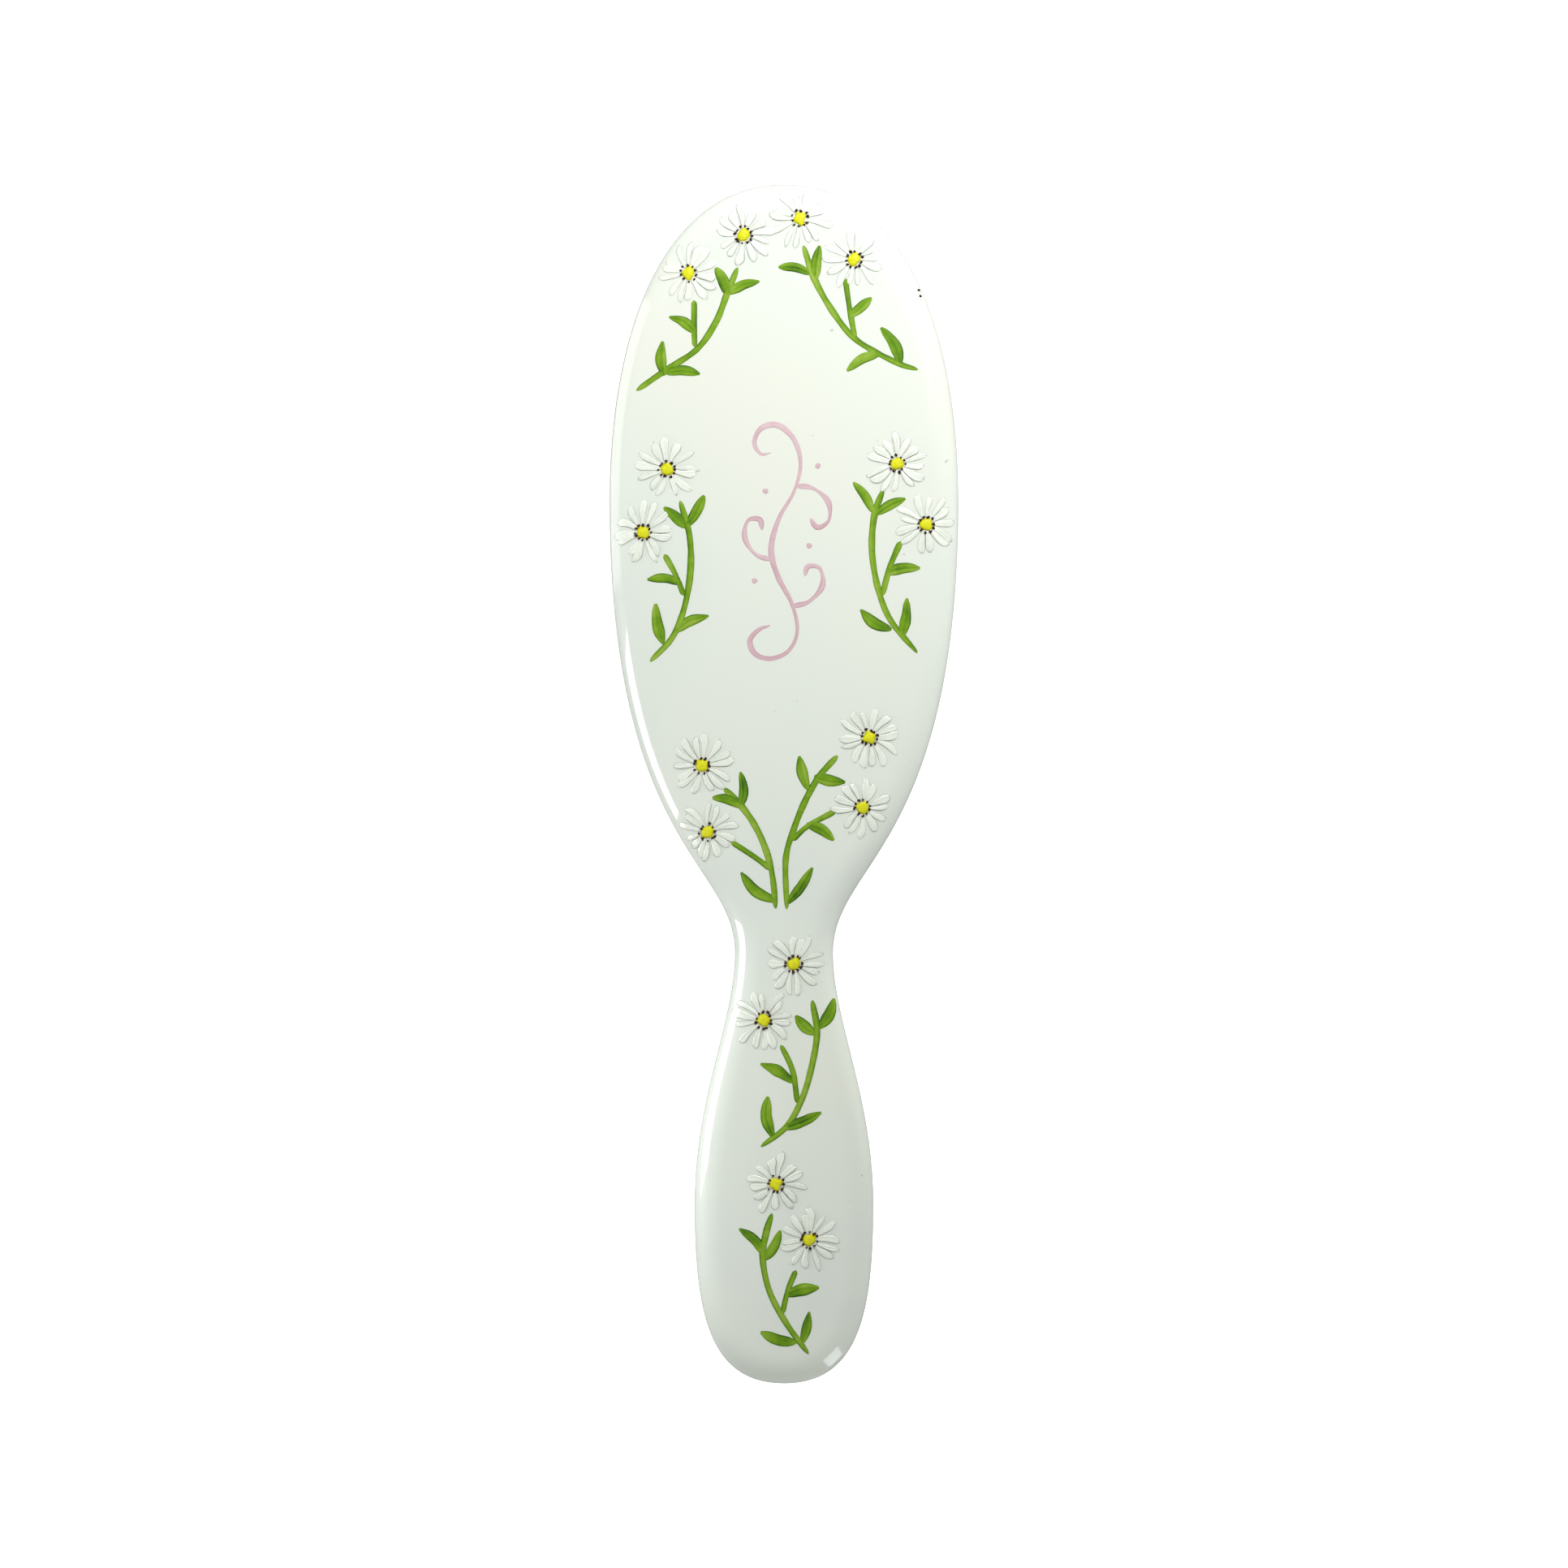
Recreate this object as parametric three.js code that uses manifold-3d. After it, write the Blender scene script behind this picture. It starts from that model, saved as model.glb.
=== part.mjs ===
import * as THREE from 'three';
import { mergeVertices } from 'three/addons/utils/BufferGeometryUtils.js';
import Module from 'manifold-3d';

// An oval cushion hairbrush, lying on its pins with its back up.
// Lengths are in millimetres. +Y runs from the handle to the crown of the head, +Z is up, and the
// origin is under the middle of the brush, level with the tips of the pins.

const wasm = await Module();
wasm.setup();

// ---- Driving dimensions: the wooden body ----

const brushLength = 220;
const headWidth = 64;
const headWidestFromCrown = 58;
const neckWidth = 18;
const neckFromCrown = 141;
const handleWidth = 32.8;
const handleWidestFromButt = 33;
const headThickness = 15;
const handleThickness = 12.5;
const backEdgeWidth = 5;
const backEdgeDepth = 3.2;
const faceEdgeRadius = 3;

// ---- Driving dimensions: the recess and the rubber cushion in it ----

const rimWidth = 7;
const padTailFromNeck = 23;
const mouthDepth = 2;
const grooveDepth = 1.6;
const grooveHeight = 2.6;
const recessDepth = 6.5;
const rubberWall = 1.2;
const padRise = 5;
const padShoulderWidth = 8;
const ventDiameter = 2;

// ---- Driving dimensions: the pins and their lining ----

const pinReach = 16;
const pinRootDiameter = 1.7;
const pinNeckDiameter = 1.1;
const pinBallDiameter = 2.1;
const pinHeadDiameter = 3.2;
const pinHeadThickness = 0.8;
const pinsAcross = 5;
const pinsInEndRow = 3;
const pinRows = 13;
const pinSplayDegrees = 7;
const liningThickness = 0.5;

// ---- Clearances between neighbouring pieces ----

const fitGap = 0.3;
const liningGap = 0.6;

// How far the field of pins reaches onto the cushion's rounded shoulder, where it's still nearly flat.
const pinsOntoShoulder = 1.4;

// ---- Shape of the curves, and how finely they are cut ----

// How far each curve keeps its end's direction, as a share of the span between its two ends.
const crownFullness = 0.68;
const headSideFullness = 0.55;
const shoulderFullness = 0.77;
const neckAboveFullness = 0.2;
const neckBelowFullness = 0.27;
const handleSideFullness = 0.43;
const buttSideFullness = 0.6;
const buttFullness = 0.85;
const padSideFullness = 0.62;
const padTailFullness = 0.68;
const padShoulderPower = 2.6;

const bodyDivisions = 56;
const padDivisions = 34;
const edgeSteps = 4;
const shoulderSteps = 5;
const pinSides = 8;

// ---- Levels and places that follow from the sizes above ----

const crownY = brushLength / 2;
const buttY = -brushLength / 2;
const headWidestY = crownY - headWidestFromCrown;
const neckY = crownY - neckFromCrown;
const handleWidestY = buttY + handleWidestFromButt;
const padTailY = neckY + padTailFromNeck;
const padHalfWidth = headWidth / 2 - rimWidth;
const padCrownY = crownY - rimWidth;
const padMiddleY = (padCrownY + padTailY) / 2;

const padFaceZ = pinReach;
const rimZ = padFaceZ + padRise;
const backZ = rimZ + headThickness;
const padInnerZ = padFaceZ + rubberWall;

const pinEdgeMargin = padShoulderWidth - pinsOntoShoulder;
const pinSpacing = 2 * (padHalfWidth - pinEdgeMargin) / pinsAcross;
const rowSpacing = (padCrownY - padTailY - 2 * pinEdgeMargin) / pinRows;

// ---- Outlines ----

// One cubic curve between two places on a half outline. It crosses the Y axis square to it, and
// runs along Y at every other place, where the outline is widest or narrowest.
function span(from, to, leaving, arriving) {
  const across = to.x - from.x;
  const along = to.y - from.y;
  const first = from.clone();
  const second = to.clone();
  if (from.x === 0) first.x += leaving * across;
  else first.y += leaving * along;
  if (to.x === 0) second.x -= arriving * across;
  else second.y -= arriving * along;
  return new THREE.CubicBezierCurve(from, first, second, to);
}

// The right half of an outline as evenly spaced points, from its +Y end to its -Y end, each with
// the direction that points out of the outline.
function halfOutline(spans, divisions) {
  const path = new THREE.CurvePath();
  spans.forEach((piece) => path.add(piece));
  const half = [];
  for (let i = 0; i <= divisions; i += 1) {
    const share = i / divisions;
    const tangent = path.getTangent(share);
    const point = path.getPoint(share);
    const outward = new THREE.Vector2(-tangent.y, tangent.x);
    if (i === 0) outward.set(0, 1);
    if (i === divisions) outward.set(0, -1);
    half.push({ point, outward });
  }
  return half;
}

function bodyOutline() {
  const crown = new THREE.Vector2(0, crownY);
  const headSide = new THREE.Vector2(headWidth / 2, headWidestY);
  const neckSide = new THREE.Vector2(neckWidth / 2, neckY);
  const handleSide = new THREE.Vector2(handleWidth / 2, handleWidestY);
  const butt = new THREE.Vector2(0, buttY);
  return halfOutline([
    span(crown, headSide, crownFullness, headSideFullness),
    span(headSide, neckSide, shoulderFullness, neckAboveFullness),
    span(neckSide, handleSide, neckBelowFullness, handleSideFullness),
    span(handleSide, butt, buttSideFullness, buttFullness),
  ], bodyDivisions);
}

function padOutline() {
  const crown = new THREE.Vector2(0, padCrownY);
  const side = new THREE.Vector2(padHalfWidth, headWidestY);
  const tail = new THREE.Vector2(0, padTailY);
  return halfOutline([
    span(crown, side, crownFullness, headSideFullness),
    span(side, tail, padSideFullness, padTailFullness),
  ], padDivisions);
}

// A whole closed loop, drawn in by an inset from the outline, at a height that may vary along Y.
// It starts at the +Y end and runs down the right side and back up the left.
function loop(half, inset, heightAt) {
  const right = half.map(({ point, outward }) => {
    const x = point.x - inset * outward.x;
    const y = point.y - inset * outward.y;
    return new THREE.Vector3(x, y, heightAt(y));
  });
  const left = right.slice(1, -1).reverse().map((p) => new THREE.Vector3(-p.x, p.y, p.z));
  return [...right, ...left];
}

const level = (z) => () => z;

// ---- Solids ----

// A closed body from loops of equal length. The first loop is closed by a face looking down and
// the last by one looking up, both made of strips that run from side to side.
function skin(loops) {
  const count = loops[0].length;
  const half = count / 2;
  const vertices = loops.flat().flatMap((p) => [p.x, p.y, p.z]);
  const faces = [];
  for (let k = 1; k < loops.length; k += 1) {
    const below = (k - 1) * count;
    const above = k * count;
    for (let i = 0; i < count; i += 1) {
      const next = (i + 1) % count;
      faces.push(below + i, above + i, below + next);
      faces.push(below + next, above + i, above + next);
    }
  }
  const last = (loops.length - 1) * count;
  for (let i = 0; i < half; i += 1) {
    const right = i;
    const left = (count - i) % count;
    const nextRight = i + 1;
    const nextLeft = count - i - 1;
    if (i > 0) {
      faces.push(left, right, nextRight);
      faces.push(last + right, last + left, last + nextRight);
    }
    if (i < half - 1) {
      faces.push(left, nextRight, nextLeft);
      faces.push(last + left, last + nextLeft, last + nextRight);
    }
  }
  const geometry = new THREE.BufferGeometry();
  geometry.setAttribute('position', new THREE.Float32BufferAttribute(vertices, 3));
  geometry.setIndex(faces);
  return geometry;
}

function toSolid(geometry) {
  const bare = geometry.clone();
  bare.deleteAttribute('normal');
  bare.deleteAttribute('uv');
  const merged = mergeVertices(bare);
  return new wasm.Manifold(new wasm.Mesh({
    numProp: 3,
    vertProperties: new Float32Array(merged.attributes.position.array),
    triVerts: new Uint32Array(merged.index.array),
  }));
}

function toGeometry(solid) {
  const mesh = solid.getMesh();
  const geometry = new THREE.BufferGeometry();
  geometry.setAttribute('position', new THREE.BufferAttribute(mesh.vertProperties, 3));
  geometry.setIndex(new THREE.BufferAttribute(mesh.triVerts, 1));
  return geometry;
}

// ---- The wooden body ----

// The handle is thinner than the head: its underside rises through the neck.
function undersideAt(y) {
  const rise = headThickness - handleThickness;
  const risen = 1 - THREE.MathUtils.smoothstep(y, handleWidestY, padTailY - rimWidth);
  return rimZ + rise * risen;
}

// Rounded-edge loops, from the flat of the face or back (turn 0) to the side (turn 1). The edge is
// a quarter of an ellipse that reaches in by its width and down the side by its depth.
function edgeLoop(outline, width, depth, turn, heightAt) {
  const angle = turn * Math.PI / 2;
  const inset = width * (1 - Math.sin(angle));
  const drop = depth * (1 - Math.cos(angle));
  return loop(outline, inset, (y) => heightAt(y, drop));
}

function brushBodyGeometry(padHalf) {
  const outline = bodyOutline();
  const loops = [];
  for (let step = 0; step <= edgeSteps; step += 1) {
    const face = (y, drop) => undersideAt(y) + drop;
    loops.push(edgeLoop(outline, faceEdgeRadius, faceEdgeRadius, step / edgeSteps, face));
  }
  for (let step = edgeSteps; step >= 0; step -= 1) {
    const back = (y, drop) => backZ - drop;
    loops.push(edgeLoop(outline, backEdgeWidth, backEdgeDepth, step / edgeSteps, back));
  }
  const grooveFloorZ = rimZ + mouthDepth + grooveHeight;
  const recess = skin([
    loop(padHalf, 0, level(rimZ - mouthDepth)),
    loop(padHalf, 0, level(rimZ + mouthDepth)),
    loop(padHalf, -grooveDepth, level(rimZ + mouthDepth)),
    loop(padHalf, -grooveDepth, level(grooveFloorZ)),
    loop(padHalf, 0, level(grooveFloorZ)),
    loop(padHalf, 0, level(rimZ + recessDepth)),
  ]);
  return toGeometry(toSolid(skin(loops)).subtract(toSolid(recess)));
}

// ---- The pins ----

// A pin stands on its own origin, where it leaves the rubber: the ball end points down and the
// flat head sits inside the cushion.
function pinGeometry() {
  const ballRadius = pinBallDiameter / 2;
  const headBottom = rubberWall + fitGap;
  const profile = [
    new THREE.Vector2(0, -pinReach),
    new THREE.Vector2(ballRadius * Math.SQRT1_2, -pinReach + ballRadius * (1 - Math.SQRT1_2)),
    new THREE.Vector2(ballRadius, -pinReach + ballRadius),
    new THREE.Vector2(pinNeckDiameter / 2, -pinReach + 2 * ballRadius),
    new THREE.Vector2(pinRootDiameter / 2, headBottom),
    new THREE.Vector2(pinHeadDiameter / 2, headBottom),
    new THREE.Vector2(pinHeadDiameter / 2, headBottom + pinHeadThickness),
    new THREE.Vector2(0, headBottom + pinHeadThickness),
  ];
  return new THREE.LatheGeometry(profile, pinSides).rotateX(Math.PI / 2);
}

// Half the width of an outline, drawn in by an inset, at one place along Y.
function halfWidthAt(half, inset, y) {
  const drawnIn = loop(half, inset, level(0)).slice(0, half.length);
  const lower = drawnIn.findIndex((point) => point.y <= y);
  if (lower < 1) return 0;
  const share = (drawnIn[lower - 1].y - y) / (drawnIn[lower - 1].y - drawnIn[lower].y);
  return THREE.MathUtils.lerp(drawnIn[lower - 1].x, drawnIn[lower].x, share);
}

// The row counted from the cushion's tail.
function rowY(row) {
  return padMiddleY + (row - (pinRows - 1) / 2) * rowSpacing;
}

// Staggered rows across the cushion, from its tail to its crown. Every other row has one pin fewer,
// standing between those of its neighbours. A row draws together where its ends would come closer
// to the cushion's edge than the margin.
function pinPlaces(padHalf) {
  const places = [];
  for (let row = 0; row < pinRows; row += 1) {
    const y = rowY(row);
    const isEndRow = row === 0 || row === pinRows - 1;
    const inRow = isEndRow ? pinsInEndRow : pinsAcross - row % 2;
    const reach = halfWidthAt(padHalf, pinEdgeMargin, y);
    const spacing = Math.min(pinSpacing, 2 * reach / (inRow - 1));
    for (let k = 0; k < inRow; k += 1) {
      const x = (k - (inRow - 1) / 2) * spacing;
      places.push({ name: `pin_r${String(row + 1).padStart(2, '0')}_c${k + 1}`, x, y });
    }
  }
  return places;
}

// A frame at the outer face of the cushion, for the pin that stands there. It leans outwards, the
// more the further the pin is from the middle.
function pinFrame({ x, y }) {
  const outwards = new THREE.Vector2(x / padHalfWidth, (y - padMiddleY) / (padCrownY - padMiddleY));
  const lean = THREE.MathUtils.degToRad(pinSplayDegrees) * Math.min(1, outwards.length());
  const heading = Math.atan2(y - padMiddleY, x);
  const axis = new THREE.Vector3(-Math.sin(heading), Math.cos(heading), 0);
  const frame = new THREE.Object3D();
  frame.position.set(x, y, padFaceZ);
  frame.quaternion.setFromAxisAngle(axis, -lean);
  frame.updateMatrix();
  return frame;
}

// ---- The rubber cushion ----

// How far the cushion stands out at an inset from the edge of its dome.
function shoulderRise(inset, width, rise) {
  const fromTop = 1 - Math.min(1, inset / width);
  return rise * (1 - fromTop ** padShoulderPower) ** (1 / padShoulderPower);
}

function shoulderLoops(padHalf, edgeInset, width, baseZ, rise) {
  const loops = [];
  for (let step = 0; step <= shoulderSteps; step += 1) {
    const inset = width * (1 - Math.cos(step / shoulderSteps * Math.PI / 2));
    const z = baseZ - shoulderRise(inset, width, rise);
    loops.push(loop(padHalf, edgeInset + inset, level(z)));
  }
  return loops;
}

function cushionGeometry(padHalf, places) {
  const innerInset = fitGap + rubberWall;
  const beadBottomZ = rimZ + mouthDepth + fitGap;
  const beadTopZ = rimZ + mouthDepth + grooveHeight - fitGap;
  const outer = shoulderLoops(padHalf, fitGap, padShoulderWidth, rimZ, padRise).reverse();
  const inner = shoulderLoops(padHalf, innerInset, padShoulderWidth - rubberWall, rimZ,
    rimZ - padInnerZ);
  const bead = [
    loop(padHalf, fitGap, level(beadBottomZ)),
    loop(padHalf, fitGap - grooveDepth, level(beadBottomZ)),
    loop(padHalf, fitGap - grooveDepth, level(beadTopZ)),
    loop(padHalf, innerInset, level(beadTopZ)),
  ];
  const ventY = rowY((pinRows - 1) / 2 + 0.5);
  let holes = toSolid(holeGeometry(ventDiameter).translate(0, ventY, padFaceZ));
  places.forEach((place) => {
    const hole = holeGeometry(pinRootDiameter + 2 * fitGap).applyMatrix4(pinFrame(place).matrix);
    holes = holes.add(toSolid(hole));
  });
  return toGeometry(toSolid(skin([...outer, ...bead, ...inner])).subtract(holes));
}

// A straight hole through the rubber, long enough to pass both its faces.
function holeGeometry(diameter) {
  const depth = 3 * rubberWall;
  const radius = diameter / 2;
  const cutter = new THREE.CylinderGeometry(radius, radius, depth, pinSides);
  return cutter.rotateX(Math.PI / 2).translate(0, 0, rubberWall / 2);
}

// ---- The lining over the heads of the pins ----

function liningGeometry(padHalf) {
  const bottom = padInnerZ + fitGap + pinHeadThickness + liningGap;
  const inset = pinEdgeMargin - pinHeadDiameter;
  return skin([
    loop(padHalf, inset, level(bottom)),
    loop(padHalf, inset, level(bottom + liningThickness)),
  ]);
}

// ---- Assembly ----

const whiteLacquer = () => new THREE.MeshStandardMaterial({
  color: 0xeef1ec,
  roughness: 0.12,
  metalness: 0,
});
const paleRubber = () => new THREE.MeshStandardMaterial({
  color: 0xd9cfc6,
  roughness: 0.6,
  metalness: 0,
});
const whiteNylon = () => new THREE.MeshStandardMaterial({
  color: 0xf3f0ea,
  roughness: 0.3,
  metalness: 0,
});
const cottonCloth = () => new THREE.MeshStandardMaterial({
  color: 0xe4ddd0,
  roughness: 0.9,
  metalness: 0,
});

function named(name, geometry, material) {
  const mesh = new THREE.Mesh(geometry, material);
  mesh.name = name;
  return mesh;
}

const pad = padOutline();
const places = pinPlaces(pad);

const pinBed = new THREE.Group();
pinBed.add(named('cushion_lining', liningGeometry(pad), cottonCloth()));
places.forEach((place) => {
  const frame = pinFrame(place);
  const pin = named(place.name, pinGeometry(), whiteNylon());
  pin.position.copy(frame.position);
  pin.quaternion.copy(frame.quaternion);
  pinBed.add(pin);
});

const group = new THREE.Group();
group.add(named('brush_body', brushBodyGeometry(pad), whiteLacquer()));
group.add(named('rubber_cushion', cushionGeometry(pad, places), paleRubber()));
group.add(pinBed);

export default group;
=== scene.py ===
import math
import random

import bmesh
import bpy
import numpy as np
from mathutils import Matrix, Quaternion, Vector, noise


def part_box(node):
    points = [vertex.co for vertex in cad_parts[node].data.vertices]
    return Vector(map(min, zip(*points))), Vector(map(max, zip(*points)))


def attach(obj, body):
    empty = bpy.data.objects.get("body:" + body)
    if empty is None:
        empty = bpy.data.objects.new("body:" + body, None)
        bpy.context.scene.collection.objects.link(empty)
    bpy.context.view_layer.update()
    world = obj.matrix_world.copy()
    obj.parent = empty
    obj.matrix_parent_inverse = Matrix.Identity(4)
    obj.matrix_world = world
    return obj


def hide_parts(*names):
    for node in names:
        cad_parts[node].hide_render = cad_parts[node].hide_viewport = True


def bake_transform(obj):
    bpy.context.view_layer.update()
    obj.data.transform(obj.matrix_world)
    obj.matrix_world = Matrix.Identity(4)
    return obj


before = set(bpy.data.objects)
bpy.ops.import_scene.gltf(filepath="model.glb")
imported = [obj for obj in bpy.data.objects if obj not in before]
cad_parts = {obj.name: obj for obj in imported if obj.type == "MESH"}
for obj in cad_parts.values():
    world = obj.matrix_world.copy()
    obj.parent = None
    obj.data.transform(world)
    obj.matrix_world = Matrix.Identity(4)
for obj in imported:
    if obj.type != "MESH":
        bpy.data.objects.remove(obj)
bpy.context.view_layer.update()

# An oval cushion hairbrush with painted daisies, standing on its pins with its back up.
# Lengths are in metres. +Y runs from the handle to the crown of the head and +Z is up.

MM = 0.001

# ---- Sizes of the wooden body, as in the CAD model ----

BODY_LOW, BODY_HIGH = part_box("brush_body")
CROWN_Y = BODY_HIGH.y
BUTT_Y = BODY_LOW.y
BACK_Z = BODY_HIGH.z
RIM_Z = BODY_LOW.z
HEAD_HALF_WIDTH = 32 * MM
HEAD_WIDEST_Y = CROWN_Y - 58 * MM
NECK_HALF_WIDTH = 9 * MM
NECK_Y = CROWN_Y - 141 * MM
HANDLE_HALF_WIDTH = 16.4 * MM
HANDLE_WIDEST_Y = BUTT_Y + 33 * MM
HANDLE_RISE = 2.5 * MM
BACK_EDGE_WIDTH = 5 * MM
BACK_EDGE_DEPTH = 3.2 * MM
FACE_EDGE_RADIUS = 3 * MM

# The back is very slightly domed from its edges inwards.
DOME_HEIGHT = 0.5 * MM
DOME_WIDTH = 20 * MM

# ---- Sizes of the recess, the cushion and the pins, as in the CAD model ----

RIM_WIDTH = 7 * MM
PAD_HALF_WIDTH = HEAD_HALF_WIDTH - RIM_WIDTH
PAD_CROWN_Y = CROWN_Y - RIM_WIDTH
PAD_TAIL_Y = NECK_Y + 23 * MM
PAD_MIDDLE_Y = (PAD_CROWN_Y + PAD_TAIL_Y) / 2
PAD_FACE_Z = 16 * MM
PAD_RISE = RIM_Z - PAD_FACE_Z
PAD_SHOULDER_WIDTH = 8 * MM
PAD_SHOULDER_POWER = 2.6
RUBBER_WALL = 1.2 * MM
MOUTH_DEPTH = 2 * MM
GROOVE_DEPTH = 1.6 * MM
GROOVE_HEIGHT = 2.6 * MM
RECESS_DEPTH = 6.5 * MM
MOUTH_CHAMFER = 0.4 * MM
FIT_GAP = 0.3 * MM

PIN_ROWS = 13
PINS_ACROSS = 5
PIN_MARGIN = 6.6 * MM
PIN_SPLAY = math.radians(7)
PIN_ROOT_RADIUS = 0.85 * MM
PIN_NECK_RADIUS = 0.55 * MM
PIN_BALL_RADIUS = 1.05 * MM
PIN_HEAD_RADIUS = 1.6 * MM
PIN_HEAD_THICKNESS = 0.8 * MM

LINING_INSET = 3.4 * MM
LINING_Z = 18.9 * MM
LINING_THICKNESS = 0.5 * MM

# ---- Outlines ----

# Places tried along each cubic curve before they are spaced evenly.
CURVE_SAMPLES = 600
PAD_DIVISIONS = 120


def span(start, end, leaving, arriving):
    """The four points of a cubic curve. It crosses the Y axis square to it and runs along Y elsewhere."""
    start, end = np.array(start), np.array(end)
    across, along = end - start
    first = start + ((leaving * across, 0) if start[0] == 0 else (0, leaving * along))
    second = end - ((arriving * across, 0) if end[0] == 0 else (0, arriving * along))
    return start, first, second, end


def half_outline(spans, divisions):
    """Evenly spaced points down the right half of an outline, and the outward direction at each."""
    t = np.linspace(0, 1, CURVE_SAMPLES)[:, None]
    dense = [(1 - t) ** 3 * a + 3 * (1 - t) ** 2 * t * b + 3 * (1 - t) * t**2 * c + t**3 * d
             for a, b, c, d in spans]
    dense = np.vstack([dense[0]] + [piece[1:] for piece in dense[1:]])
    run = np.concatenate([[0], np.cumsum(np.linalg.norm(np.diff(dense, axis=0), axis=1))])
    tangent = np.gradient(dense, run, axis=0)
    wanted = np.linspace(0, run[-1], divisions + 1)
    points = np.stack([np.interp(wanted, run, dense[:, k]) for k in (0, 1)], axis=1)
    run_x, run_y = (np.interp(wanted, run, tangent[:, k]) for k in (0, 1))
    outward = np.stack([-run_y, run_x], axis=1)
    outward[0], outward[-1] = (0, 1), (0, -1)
    outward /= np.linalg.norm(outward, axis=1)[:, None]
    points[[0, -1], 0] = 0
    return points, outward


def body_outline(divisions):
    """The brush from above: crown, widest head, neck, widest handle and butt."""
    crown, head = (0, CROWN_Y), (HEAD_HALF_WIDTH, HEAD_WIDEST_Y)
    neck, handle = (NECK_HALF_WIDTH, NECK_Y), (HANDLE_HALF_WIDTH, HANDLE_WIDEST_Y)
    return half_outline([
        span(crown, head, 0.68, 0.55),
        span(head, neck, 0.77, 0.2),
        span(neck, handle, 0.27, 0.43),
        span(handle, (0, BUTT_Y), 0.6, 0.85),
    ], divisions)


def pad_outline(divisions):
    """The recess from above. The cushion fills it."""
    side = (PAD_HALF_WIDTH, HEAD_WIDEST_Y)
    return half_outline([
        span((0, PAD_CROWN_Y), side, 0.68, 0.55),
        span(side, (0, PAD_TAIL_Y), 0.62, 0.68),
    ], divisions)


def loop(half, inset, height):
    """A closed loop drawn in from an outline. height is a number, or gives one for each Y."""
    points, outward = half
    right = points - inset * outward
    left = right[-2:0:-1] * (-1, 1)
    around = np.vstack([right, left])
    z = height(around[:, 1]) if callable(height) else np.full(len(around), height)
    return np.column_stack([around, z])


EDGE_POINTS, _ = body_outline(1200)


def distance_to_edge(x, y):
    """How far each place on the back lies from the body's outline."""
    x, y = np.atleast_1d(np.abs(x)), np.atleast_1d(y)
    gap = (EDGE_POINTS[None, :, 0] - x[:, None]) ** 2 + (EDGE_POINTS[None, :, 1] - y[:, None]) ** 2
    return np.sqrt(gap.min(axis=1))


def back_drop(inset):
    """How far the back lies below its highest level, at a distance from the outline."""
    outwards = np.maximum(1 - inset / BACK_EDGE_WIDTH, 0)
    round_off = BACK_EDGE_DEPTH * (1 - np.sqrt(np.maximum(1 - outwards**2, 0)))
    return round_off + DOME_HEIGHT * (1 - np.minimum(inset / DOME_WIDTH, 1)) ** 2


def back_height(x, y):
    return BACK_Z - back_drop(distance_to_edge(x, y))


def underside(y):
    """The handle is thinner than the head, so the underside rises through the neck."""
    share = np.clip((y - HANDLE_WIDEST_Y) / (PAD_TAIL_Y - RIM_WIDTH - HANDLE_WIDEST_Y), 0, 1)
    return RIM_Z + HANDLE_RISE * (1 - share * share * (3 - 2 * share))


# ---- Meshes ----


def make_object(name, verts, faces, smooth_angle=35):
    mesh = bpy.data.meshes.new(name)
    mesh.from_pydata([tuple(v) for v in verts], [], faces)
    mesh.validate()
    bm = bmesh.new()
    bm.from_mesh(mesh)
    bmesh.ops.recalc_face_normals(bm, faces=bm.faces)
    bm.to_mesh(mesh)
    bm.free()
    mesh.shade_smooth()
    mesh.set_sharp_from_angle(angle=math.radians(smooth_angle))
    obj = bpy.data.objects.new(name, mesh)
    bpy.context.scene.collection.objects.link(obj)
    return obj


def cap_faces(verts, ring, columns, surface):
    """Closes a loop with a grid from side to side. verts grows by the grid's inner points.

    surface(x, y) gives their heights.
    """
    half = len(ring) // 2
    rows = []
    for i in range(1, half):
        right, left = verts[ring[i]], verts[ring[-i]]
        shares = np.arange(1, columns) / columns
        x = right[0] + (left[0] - right[0]) * shares
        y = right[1] + (left[1] - right[1]) * shares
        first = len(verts)
        verts.extend(zip(x, y, surface(x, y)))
        rows.append([ring[i], *range(first, len(verts)), ring[-i]])
    faces = [(ring[0], rows[0][j], rows[0][j + 1]) for j in range(columns)]
    faces += [(ring[half], rows[-1][j + 1], rows[-1][j]) for j in range(columns)]
    for above, below in zip(rows, rows[1:]):
        faces += [(above[j], below[j], below[j + 1], above[j + 1]) for j in range(columns)]
    return faces


def skin(name, loops, first_cap, last_cap, smooth_angle=35):
    """A closed body from loops of equal length, with a grid over each end.

    A cap is (columns, surface), as cap_faces takes them.
    """
    count = len(loops[0])
    verts = [tuple(v) for ring in loops for v in ring]
    faces = []
    for k in range(len(loops) - 1):
        low, high = k * count, (k + 1) * count
        for i in range(count):
            j = (i + 1) % count
            faces.append((low + i, low + j, high + j, high + i))
    faces += cap_faces(verts, list(range(count)), *first_cap)
    last = (len(loops) - 1) * count
    faces += cap_faces(verts, list(range(last, last + count)), *last_cap)
    return make_object(name, verts, faces, smooth_angle)


def flat(z):
    """A level surface, for a cap."""
    return lambda x, y: np.full(np.shape(x), z)


# ---- Materials ----


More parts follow.
